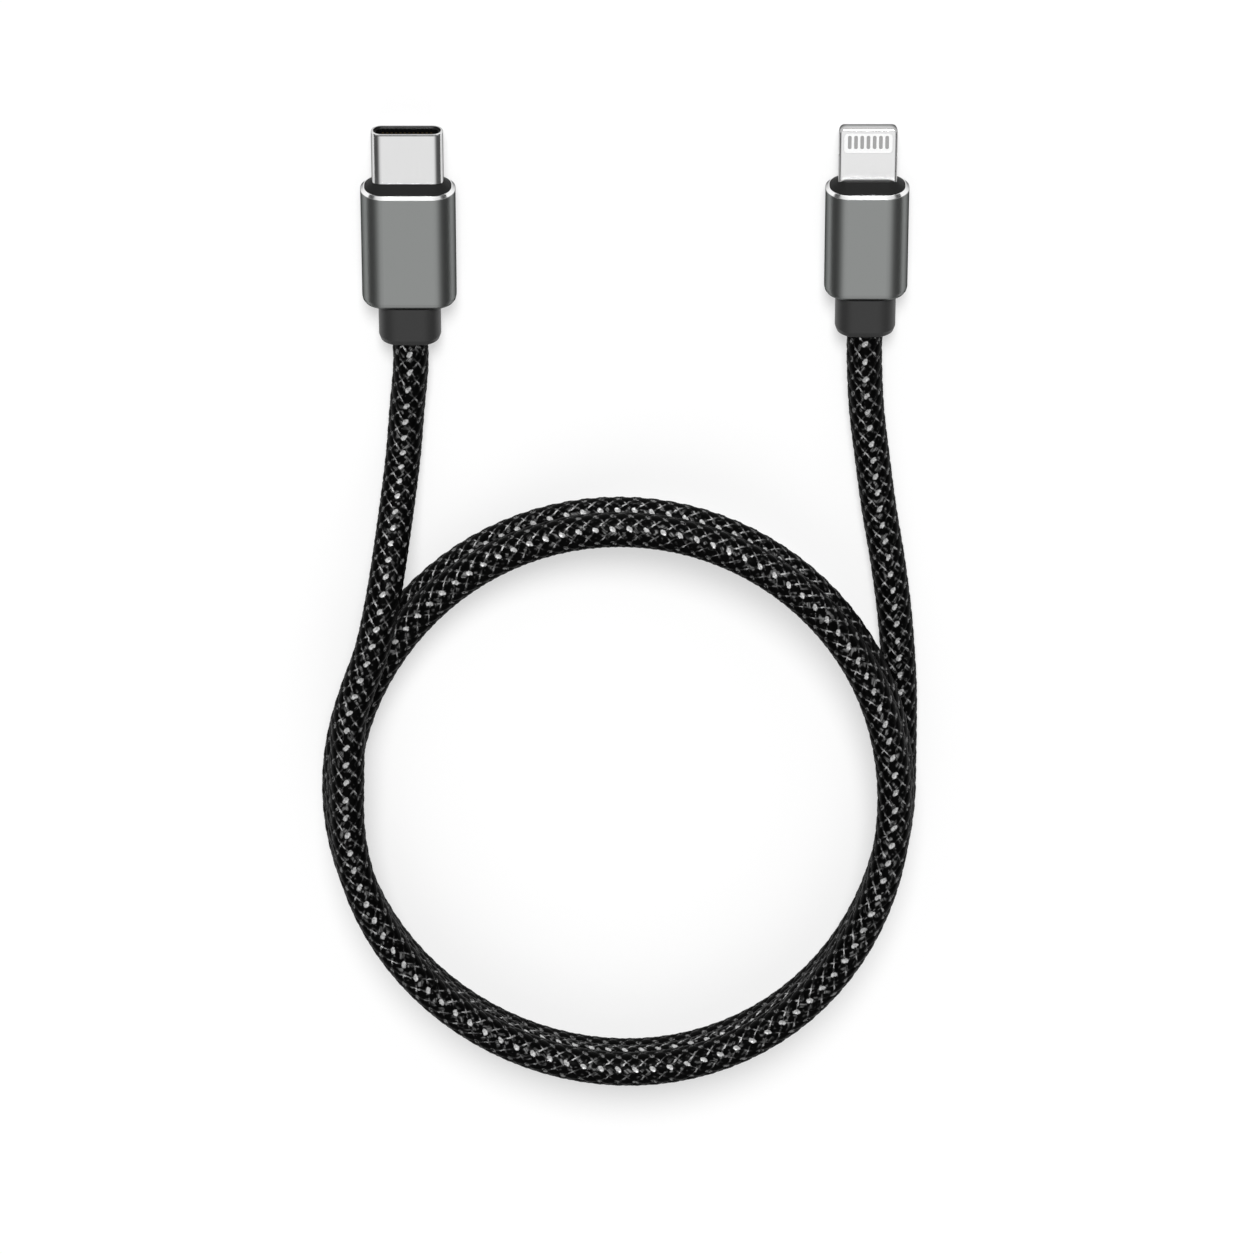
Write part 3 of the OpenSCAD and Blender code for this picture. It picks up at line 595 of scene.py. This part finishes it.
# %% Fleck mask
def fleck_and_glint_mask(material, filaments):
    """1 on the pale flecks and on the painted highlights and sheen, 0 on the black thread."""
    weave = add(material, "ShaderNodeUVMap", uv_map="weave").outputs["UV"]
    wobble = noise_on(material, weave, *WOBBLE)
    speckle = noise_on(material, weave, *SPECKLE)
    split = add(material, "ShaderNodeSeparateXYZ")
    wire(material, weave, split.inputs["Vector"])
    round_cord, along_cord = split.outputs["X"], split.outputs["Y"]
    long_gap = distance_to_gap(material, round_cord, along_cord, "ADD", wobble)
    short_gap = distance_to_gap(material, round_cord, along_cord, "SUBTRACT", wobble)
    arms = math_node(material, "MAXIMUM", arm_mask(material, long_gap, short_gap, *LONG_ARM),
                     arm_mask(material, short_gap, long_gap, *SHORT_ARM))

    cosine = math_node(material, "COSINE", times(material, round_cord, math.pi))
    even = soft_step(material, cosine, -EVEN_EDGE, EVEN_EDGE)
    odd = math_node(material, "SUBTRACT", 1.0, even)
    place = math_node(material, "WRAP", round_cord, THREADS_EACH_WAY, -THREADS_EACH_WAY)
    column = math_node(material, "PINGPONG", place, THREADS_EACH_WAY / 2)
    patchy = between(material, wobble, *FAINT_DOT_PATCHES)
    # Bright dots only on the column that faces the camera, faint ones elsewhere: painted highlight.
    dot_fading = math_node(material, "MAXIMUM", soft_step(material, column, *DOT_COLUMNS),
                           times(material, patchy, soft_step(material, column, *FAINT_DOT_COLUMNS)))
    wave = math_node(material, "SINE", times(material, along_cord, math.pi))
    # Crosses near that column, brighter on one side: painted highlight.
    arm_fading = times(material, soft_step(material, column, *ARM_COLUMNS),
                       soft_step(material, place, *ARM_LIT_SIDE), soft_step(material, wave, *ARM_WAVE),
                       math_node(material, "ADD", odd, ARM_ON_EVEN),
                       between(material, speckle, *ARM_PATCHES))
    # Smudges near that column: painted sheen.
    painted_sheen = times(material, between(material, speckle, *SHEEN_PATCHES),
                    between(material, filaments, *SHEEN_LINES),
                    soft_step(material, column, *SHEEN_COLUMNS))
    dots = times(material, dot_mask(material, long_gap, short_gap, wobble), even, dot_fading)
    marks = math_node(material, "MAXIMUM", dots, times(material, arms, arm_fading))
    return math_node(material, "MAXIMUM", marks, painted_sheen)


print("the mask joins dots, crosses and smudges")

# %% [markdown]
# ## Nylon threads
# Each thread is a flat bundle of fine nylon filaments: almost black, with a faint sheen. Every filament
# could be a hair, but at this size they only show as fine lines, so the noise is stretched along V of the
# thread's own map and used for colour, roughness and bump. The flecks are paler and a little metallic,
# which makes them glint where they face the light, and their pale colour also paints the highlights and
# sheen on the row that faces the camera.

# %% Nylon
FILAMENTS_ACROSS = 11
FILAMENT_STRETCH = 0.5
FILAMENT_DEPTH = 0.000012
BLACK_YARN = (grey(0.0005), grey(0.0022))
# Pale colour of the flecks and of the painted highlights and sheen.
PALE_FLECK_AND_GLINT = (grey(0.42), grey(0.66))
PALE_METALLIC = 0.25


def make_nylon():
    """Black thread with the pale flecks and the painted highlights laid over it."""
    nylon, shader = new_finish("nylon_thread", grey(0.002), metallic=0, roughness=0.4, specular=0.02)
    place = add(nylon, "ShaderNodeUVMap", uv_map="thread")
    scale = add(nylon, "ShaderNodeMapping")
    scale.inputs["Scale"].default_value = (FILAMENTS_ACROSS, FILAMENT_STRETCH, 1)
    wire(nylon, place.outputs["UV"], scale.inputs["Vector"])
    filaments = noise_on(nylon, scale.outputs["Vector"], 1, 3)
    flecks_and_glints = fleck_and_glint_mask(nylon, filaments)
    colour = add(nylon, "ShaderNodeMix", data_type="RGBA")
    wire(nylon, flecks_and_glints, colour.inputs["Factor"])
    wire(nylon, blend_colours(nylon, filaments, *BLACK_YARN), colour.inputs["A"])
    wire(nylon, blend_colours(nylon, filaments, *PALE_FLECK_AND_GLINT), colour.inputs["B"])
    wire(nylon, colour.outputs["Result"], shader.inputs["Base Color"])
    wire(nylon, times(nylon, flecks_and_glints, PALE_METALLIC), shader.inputs["Metallic"])
    wire(nylon, between(nylon, filaments, 0.36, 0.46), shader.inputs["Roughness"])
    add_bump(nylon, shader, filaments, FILAMENT_DEPTH, strength=0.6)
    return nylon


nylon = make_nylon()
for piece in braid.values():
    piece.data.materials.append(nylon)
jacket_black, jacket_shader = new_finish("jacket_black", grey(0.003), metallic=0, roughness=0.7, specular=0.2)
add_bump(jacket_black, jacket_shader, grain(jacket_black, size=0.0002), depth=0.00003)
jacket.data.materials.append(jacket_black)
print("threads in", nylon.name)

# %% [markdown]
# ## Bright steel of the Type-C shell
# The shell is drawn from nickel plated sheet: mirror bright, with very fine lines along the way it was
# drawn. The shader's Anisotropic value would smear the reflections along such lines, but not show one of
# them. Stretched noise in the roughness shows the lines without dulling the mirror. The Specular Tint sets
# how bright the metal is where it is seen edge on, and a low one darkens the outline.

# %% Shell steel
DRAWN_LINE, DRAWN_STRETCH = 0.00006, (1, 30, 1)


def make_steel(name, value, roughness, depth, edge=0.25):
    """Drawn sheet steel, with lines along Y. edge is its brightness where it is seen edge on."""
    steel, shader = new_finish(name, grey(value), metallic=1, roughness=roughness)
    shader.inputs["Specular Tint"].default_value = (*grey(edge), 1)
    lines = grain(steel, DRAWN_LINE, DRAWN_STRETCH)
    wire(steel, blend_colours(steel, lines, grey(value * 0.96), grey(min(value * 1.04, 1))),
         shader.inputs["Base Color"])
    wire(steel, between(steel, lines, roughness * 0.8, roughness * 1.2), shader.inputs["Roughness"])
    add_bump(steel, shader, lines, depth)
    return steel


shell_steel = make_steel("shell_steel", value=0.775, roughness=0.16, depth=0.0000006, edge=0.05)
finish_node("typec_shell", shell_steel)
print(shell_steel.name, "on typec_shell")

# %% [markdown]
# ## Anodised housings with a bright cut edge
# The housings are aluminium, bead blasted and anodised grey. After that a diamond tool cuts the edge of the
# mouth, which lays bare bright metal. Two materials could share the faces between them, but the faces come
# from the CAD model and may be numbered anew. So both finishes are one material: a step along Y tells
# the cut edge from the rest.

# %% Housing finish
CUT_EDGE = 0.0003
BLAST_GRAIN, BLAST_DEPTH = 0.00007, 0.000002
ANODISED = ((0.286, 0.296, 0.291), (0.325, 0.335, 0.33))
BARE_METAL, BARE_ROUGHNESS = 0.93, 0.14


def make_housing(name, rim):
    """Anodised aluminium with a bare edge. rim is the Y of the mouth."""
    housing, shader = new_finish(name, grey(0.32), metallic=1, roughness=0.34)
    shader.inputs["Specular Tint"].default_value = (*grey(0.02), 1)
    place = add(housing, "ShaderNodeTexCoord")
    split = add(housing, "ShaderNodeSeparateXYZ")
    wire(housing, place.outputs["Object"], split.inputs["Vector"])
    line = rim - CUT_EDGE
    cut = between(housing, split.outputs["Y"], 0, 1, line - 0.00002, line + 0.00001)
    blast = grain(housing, BLAST_GRAIN)
    body = blend_colours(housing, blast, *ANODISED)
    colour = add(housing, "ShaderNodeMix", data_type="RGBA")
    colour.inputs["B"].default_value = (*grey(BARE_METAL), 1)
    wire(housing, cut, colour.inputs["Factor"])
    wire(housing, body, colour.inputs["A"])
    wire(housing, colour.outputs["Result"], shader.inputs["Base Color"])
    rough = add(housing, "ShaderNodeMix", data_type="FLOAT")
    rough.inputs["B"].default_value = BARE_ROUGHNESS
    wire(housing, cut, rough.inputs["Factor"])
    wire(housing, between(housing, blast, 0.30, 0.38), rough.inputs["A"])
    wire(housing, rough.outputs["Result"], shader.inputs["Roughness"])
    uncut = math_node(housing, "SUBTRACT", 1.0, cut)
    add_bump(housing, shader, times(housing, blast, uncut), BLAST_DEPTH)
    return housing


for plug in ("typec", "blade"):
    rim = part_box(f"{plug}_housing")[1].y
    finish_node(f"{plug}_housing", make_housing(f"{plug}_housing_grey", rim))
    print(f"{plug} housing: cut edge at Y {rim / MM:.2f} mm")

# %% [markdown]
# ## Black mouldings and rubber
# The bezel is a satin moulding with a fine spark-eroded texture. The strain relief is softer: matt rubber
# with a broad sheen. The insulator in the mouth is a glass filled plastic. One black could serve for all
# three, but then they would read as one piece. They differ in roughness and in the size of the grain
# more than in colour, so one function makes them all.

# %% Black plastics
def make_plastic(name, value, roughness, size, depth, specular=0.5):
    """A moulded plastic with a grain of this size and depth."""
    plastic, shader = new_finish(name, grey(value), 0, roughness, specular)
    texture = grain(plastic, size)
    wire(plastic, blend_colours(plastic, texture, grey(value * 0.85), grey(value * 1.15)),
         shader.inputs["Base Color"])
    wire(plastic, between(plastic, texture, roughness * 0.9, roughness * 1.1), shader.inputs["Roughness"])
    add_bump(plastic, shader, texture, depth)
    return plastic


bezel_black = make_plastic(
    "bezel_black", value=0.013, roughness=0.5, size=0.00009, depth=0.000003, specular=0.06)
relief_rubber = make_plastic(
    "relief_rubber", value=0.027, roughness=0.45, size=0.00012, depth=0.000004, specular=0.35)
insulator_black = make_plastic(
    "insulator_black", value=0.003, roughness=0.5, size=0.0001, depth=0.000002, specular=0.1)
for plug in ("typec", "blade"):
    finish_node(f"{plug}_bezel", bezel_black)
    finish_node(f"{plug}_strain_relief", relief_rubber)
finish_node("typec_insulator", insulator_black)
print("bezels, strain reliefs and insulator are black")

# %% [markdown]
# ## The blade
# Its frame is steel, finely blasted, so its faces look pale and silky. Its edges are painted darker, most
# of all below the middle: painted shade on the edges that turn away from the light, towards the floor.
# They could get a material of their own, but the round between face and edge has no line to stop at. So
# the Normal of the surface tells faces from edges, and the height above the table tells the upper half
# from the lower. The window is filled with white plastic, and seven contacts lie flush in it. Their
# plating is duller than the frame.

# %% Blade finishes
FLAT_NORMAL = (0.7, 0.97)
UPPER_HEIGHT = (0.0023, 0.0031, 0.0, 0.7)


def make_blasted(name, value, roughness, size, depth, edge=None):
    """Blasted steel. With an edge value, the faces that don't lie flat are painted darker: painted shade."""
    blasted, shader = new_finish(name, grey(value), metallic=1, roughness=roughness)
    shader.inputs["Specular Tint"].default_value = (*grey(0.4), 1)
    texture = grain(blasted, size, detail=1.0)
    colour = blend_colours(blasted, texture, grey(value * 0.95), grey(min(value * 1.05, 1)))
    if edge:
        surface = add(blasted, "ShaderNodeNewGeometry")
        normal = add(blasted, "ShaderNodeSeparateXYZ")
        wire(blasted, surface.outputs["Normal"], normal.inputs["Vector"])
        place = add(blasted, "ShaderNodeTexCoord")
        height = add(blasted, "ShaderNodeSeparateXYZ")
        wire(blasted, place.outputs["Object"], height.inputs["Vector"])
        upper = soft_step(blasted, height.outputs["Z"], *UPPER_HEIGHT)
        flat = soft_step(blasted, math_node(blasted, "ABSOLUTE", normal.outputs["Z"]), *FLAT_NORMAL)
        flat = math_node(blasted, "MAXIMUM", flat, upper)
        # Painted shade: edges darker than the faces, most of all below the middle.
        painted_edge_shade = add(blasted, "ShaderNodeMix", data_type="RGBA")
        painted_edge_shade.inputs["A"].default_value = (*grey(edge), 1)
        wire(blasted, flat, painted_edge_shade.inputs["Factor"])
        wire(blasted, colour, painted_edge_shade.inputs["B"])
        colour = painted_edge_shade.outputs["Result"]
    wire(blasted, colour, shader.inputs["Base Color"])
    wire(blasted, between(blasted, texture, roughness * 0.85, roughness * 1.15), shader.inputs["Roughness"])
    add_bump(blasted, shader, texture, depth)
    return blasted


# edge=0.15 is the colour of the painted shade on the blade's edges.
blade_steel = make_blasted("blade_steel", value=0.88, roughness=0.30, size=0.00009, depth=0.000004, edge=0.15)
core_white = make_plastic("core_white", value=0.91, roughness=0.35, size=0.00015, depth=0.000002)
contact_plating = make_blasted("contact_plating", value=0.42, roughness=0.25, size=0.00005, depth=0.000001)
finish_node("blade_frame", blade_steel)
finish_node("blade_core", core_white)
for face in ("upper", "lower"):
    finish_node(f"blade_contacts_{face}", contact_plating)
print("blade: steel frame, white core, plated contacts")

# %% [markdown]
# ## The pieces inside
# Nobody sees the boards, the cans, the wires and the crimps until a plug is cut open, but a part that is
# reused may be cut open. They could stay grey, but a plain, true finish costs little: green solder mask
# with tracks under it, tinned steel, hot melt, coloured wires. The tracks are the cells of a Voronoi
# texture, and the wires take their colour from their place across the plug.

# %% Board
TRACK_SCALE = (2500, 900, 2500)
TRACK_DEPTH = 0.000008
MASK_DARK, MASK_MIDDLE, MASK_LIGHT = (0.008, 0.08, 0.03), (0.01, 0.12, 0.04), (0.02, 0.2, 0.07)


def make_board():
    """Green solder mask with raised tracks."""
    board, shader = new_finish("solder_mask", MASK_MIDDLE, metallic=0, roughness=0.3)
    place = add(board, "ShaderNodeTexCoord")
    scale = add(board, "ShaderNodeMapping")
    scale.inputs["Scale"].default_value = TRACK_SCALE
    tracks = add(board, "ShaderNodeTexVoronoi", distance="MANHATTAN")
    tracks.inputs["Scale"].default_value = 1
    wire(board, place.outputs["Object"], scale.inputs["Vector"])
    wire(board, scale.outputs["Vector"], tracks.inputs["Vector"])
    edge = between(board, tracks.outputs["Distance"], 0, 1, 0.3, 0.4)
    wire(board, blend_colours(board, edge, MASK_DARK, MASK_LIGHT), shader.inputs["Base Color"])
    add_bump(board, shader, edge, TRACK_DEPTH)
    return board


solder_mask = make_board()
print("made", solder_mask.name)

# %% Wires
WIRE_SPACING = 0.0014
WIRE_RED, WIRE_WHITE = (0.5, 0.02, 0.02), (0.7, 0.7, 0.66)


def make_wires():
    """Insulated wires in two colours, told apart by their place across the plug."""
    wires, shader = new_finish("wire_colours", WIRE_RED, metallic=0, roughness=0.35)
    place = add(wires, "ShaderNodeTexCoord")
    split = add(wires, "ShaderNodeSeparateXYZ")
    repeat = add(wires, "ShaderNodeMath", operation="PINGPONG")
    repeat.inputs[1].default_value = WIRE_SPACING
    ramp = add(wires, "ShaderNodeValToRGB")
    ramp.color_ramp.interpolation = "CONSTANT"
    ramp.color_ramp.elements[0].color = (*WIRE_RED, 1)
    ramp.color_ramp.elements[1].position = 0.5
    ramp.color_ramp.elements[1].color = (*WIRE_WHITE, 1)
    wire(wires, place.outputs["Object"], split.inputs["Vector"])
    wire(wires, split.outputs["X"], repeat.inputs[0])
    wire(wires, between(wires, repeat.outputs["Value"], 0, 1, 0, WIRE_SPACING), ramp.inputs["Fac"])
    wire(wires, ramp.outputs["Color"], shader.inputs["Base Color"])
    add_bump(wires, shader, grain(wires, size=0.0001), depth=0.000002)
    return wires


wire_colours = make_wires()
print("made", wire_colours.name)

# %% Inner finishes
tinned_steel = make_steel("tinned_steel", value=0.62, roughness=0.32, depth=0.000002)
spring_steel = make_steel("spring_steel", value=0.45, roughness=0.28, depth=0.000001)
# The contact gold is painted almost black: painted shade for the contacts deep in the mouth.
shaded_gold, gold_shader = new_finish("contact_gold", (0.07, 0.05, 0.025), metallic=1, roughness=0.4)
add_bump(shaded_gold, gold_shader, grain(shaded_gold, size=0.00005), depth=0.000001)
hot_melt = make_plastic("hot_melt", value=0.42, roughness=0.35, size=0.0004, depth=0.00002)
chip_black = make_plastic("chip_black", value=0.015, roughness=0.45, size=0.00008, depth=0.000003)
cord_end_black = make_plastic(
    "cord_end_black", value=0.006, roughness=0.5, size=0.0003, depth=0.00004, specular=0.3)
inner = {
    "typec_contacts_upper": shaded_gold, "typec_contacts_lower": shaded_gold,
    "typec_latch": spring_steel, "typec_ground_springs": spring_steel,
}
for plug in ("typec", "blade"):
    inner |= {
        f"{plug}_board": solder_mask, f"{plug}_board_parts": chip_black, f"{plug}_inner_can": tinned_steel,
        f"{plug}_inner_mould": hot_melt, f"{plug}_wires": wire_colours, f"{plug}_crimp": tinned_steel,
        f"{plug}_cord_end": cord_end_black,
    }
for name, material in inner.items():
    finish_node(name, material)
print(len(inner), "inner pieces finished")

# %% [markdown]
# ## The floor
# The cable lies on a wide pale sheet, which ends metres past everything. More light could make the sheet
# white, but it would burn out the plugs as well. So half of it is a nearly white surface, which takes the
# light and the shadow, and the other half is an even white glow that only the camera and the reflections
# see. The sheet is white to its far edge, and the shadow stays soft.

# %% Floor
FLOOR_HALF = 3.0
FLOOR_DROP = 0.00002
FLOOR_GLOW = 0.5
floor_mesh = bpy.data.meshes.new("floor")
floor_mesh.from_pydata(
    [(x * FLOOR_HALF, y * FLOOR_HALF, -FLOOR_DROP) for x, y in ((-1, -1), (1, -1), (1, 1), (-1, 1))],
    [], [(0, 1, 2, 3)])
floor = bpy.data.objects.new("floor", floor_mesh)
bpy.context.scene.collection.objects.link(floor)
floor_white, floor_shader = new_finish("floor_white", grey(0.97), metallic=0, roughness=0.9, specular=0)
ray = add(floor_white, "ShaderNodeLightPath")
seen = math_node(floor_white, "ADD", ray.outputs["Is Camera Ray"], ray.outputs["Is Glossy Ray"])
seen = math_node(floor_white, "ADD", seen, ray.outputs["Is Transmission Ray"])
white = add(floor_white, "ShaderNodeEmission")
white.inputs["Strength"].default_value = 1.0
cover = add(floor_white, "ShaderNodeMixShader")
output = floor_white.node_tree.nodes["Material Output"]
wire(floor_white, math_node(floor_white, "MULTIPLY", seen, FLOOR_GLOW), cover.inputs["Fac"])
wire(floor_white, floor_shader.outputs["BSDF"], cover.inputs[1])
wire(floor_white, white.outputs["Emission"], cover.inputs[2])
wire(floor_white, cover.outputs["Shader"], output.inputs["Surface"])
floor_mesh.materials.append(floor_white)
print(f"floor {2 * FLOOR_HALF:.0f} m wide")

# %% [markdown]
# ## Studio light
# Metal shows what surrounds it, so the light is designed as a room. Area lamps and dark cards could stand
# round the cable, as in a studio, but a world that only depends on the direction does the same without
# any of them in the way. A pale ceiling lies behind and above, and it fades to dim walls at the left and
# right: a flat face gets an even pale tone and its round corners darken, which is how the eye reads metal.
# A low bright strip in front catches the cut edges.

# %% Room
CEILING_ACROSS = (0.10, 0.68, 0.97, 0.10)
CEILING_FORWARD = (-0.15, 0.35, 1.0, 0.22)
CEILING_UPWARD = (0.15, 0.66, 0.10, 1.0)
STRIP_FORWARD = (0.1, 0.35)
STRIP_BOTTOM = (0.25, 0.4)
STRIP_TOP = (0.55, 0.68, 0.8, 0.0)
DIM_WALLS = 0.09


def make_room():
    """A world whose brightness depends on the direction: X to the sides, Y to the front, Z up."""
    room = bpy.data.worlds.new("room")
    room.use_nodes = True
    background = room.node_tree.nodes["Background"]
    background.inputs["Color"].default_value = (1, 1, 1, 1)
    place = add(room, "ShaderNodeTexCoord")
    split = add(room, "ShaderNodeSeparateXYZ")
    wire(room, place.outputs["Generated"], split.inputs["Vector"])
    across, forward, upward = split.outputs["X"], split.outputs["Y"], split.outputs["Z"]
    ceiling = times(room, soft_step(room, math_node(room, "ABSOLUTE", across), *CEILING_ACROSS),
                    soft_step(room, forward, *CEILING_FORWARD), soft_step(room, upward, *CEILING_UPWARD))
    strip = times(room, soft_step(room, forward, *STRIP_FORWARD), soft_step(room, upward, *STRIP_BOTTOM),
                  soft_step(room, upward, *STRIP_TOP))
    lamps = math_node(room, "MAXIMUM", ceiling, strip)
    wire(room, math_node(room, "MAXIMUM", lamps, DIM_WALLS), background.inputs["Strength"])
    return room


bpy.context.scene.world = make_room()
print("the room is", bpy.context.scene.world.name)

# %% [markdown]
# ## The key light
# One lamp gives the shadow. An area lamp would have to be large and near, and its light would fall off
# along the cable. A sun lights all of it alike, and its angle sets how soft the shadow is. It stands in
# front, lower than the camera, so the shadow falls behind the cord and stays in view.

# %% Key light
KEY_ELEVATION = math.radians(47)
KEY_WIDTH = math.radians(18)
KEY_STRENGTH = 2.95
key_data = bpy.data.lights.new("key", "SUN")
key_data.energy = KEY_STRENGTH
key_data.angle = KEY_WIDTH
key = bpy.data.objects.new("key", key_data)
key.rotation_euler = (KEY_ELEVATION - math.pi / 2, 0, 0)
bpy.context.scene.collection.objects.link(key)
bpy.context.scene.view_settings.view_transform = "Standard"
print(f"the key light stands {math.degrees(KEY_ELEVATION):.0f} degrees above the table")

# %% [markdown]
# ## Putting the pieces on the model
# The two hands of the braid and the jacket stand for the three plain cord solids of the CAD model, which
# could be hidden by hand, but then nobody would know what took their place. Here the new pieces ride on
# the root, the CAD solids are hidden, and the cord's length and thickness are printed.

# %% Ride and replace
CORD_NODES = ("cord_arm_typec", "cord_coil", "cord_arm_blade")
for piece in (*braid.values(), jacket):
    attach(piece, "root")
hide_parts(*CORD_NODES)
print(f"cord: {cord_length:.3f} m, {CORD_D / MM:.1f} mm thick")
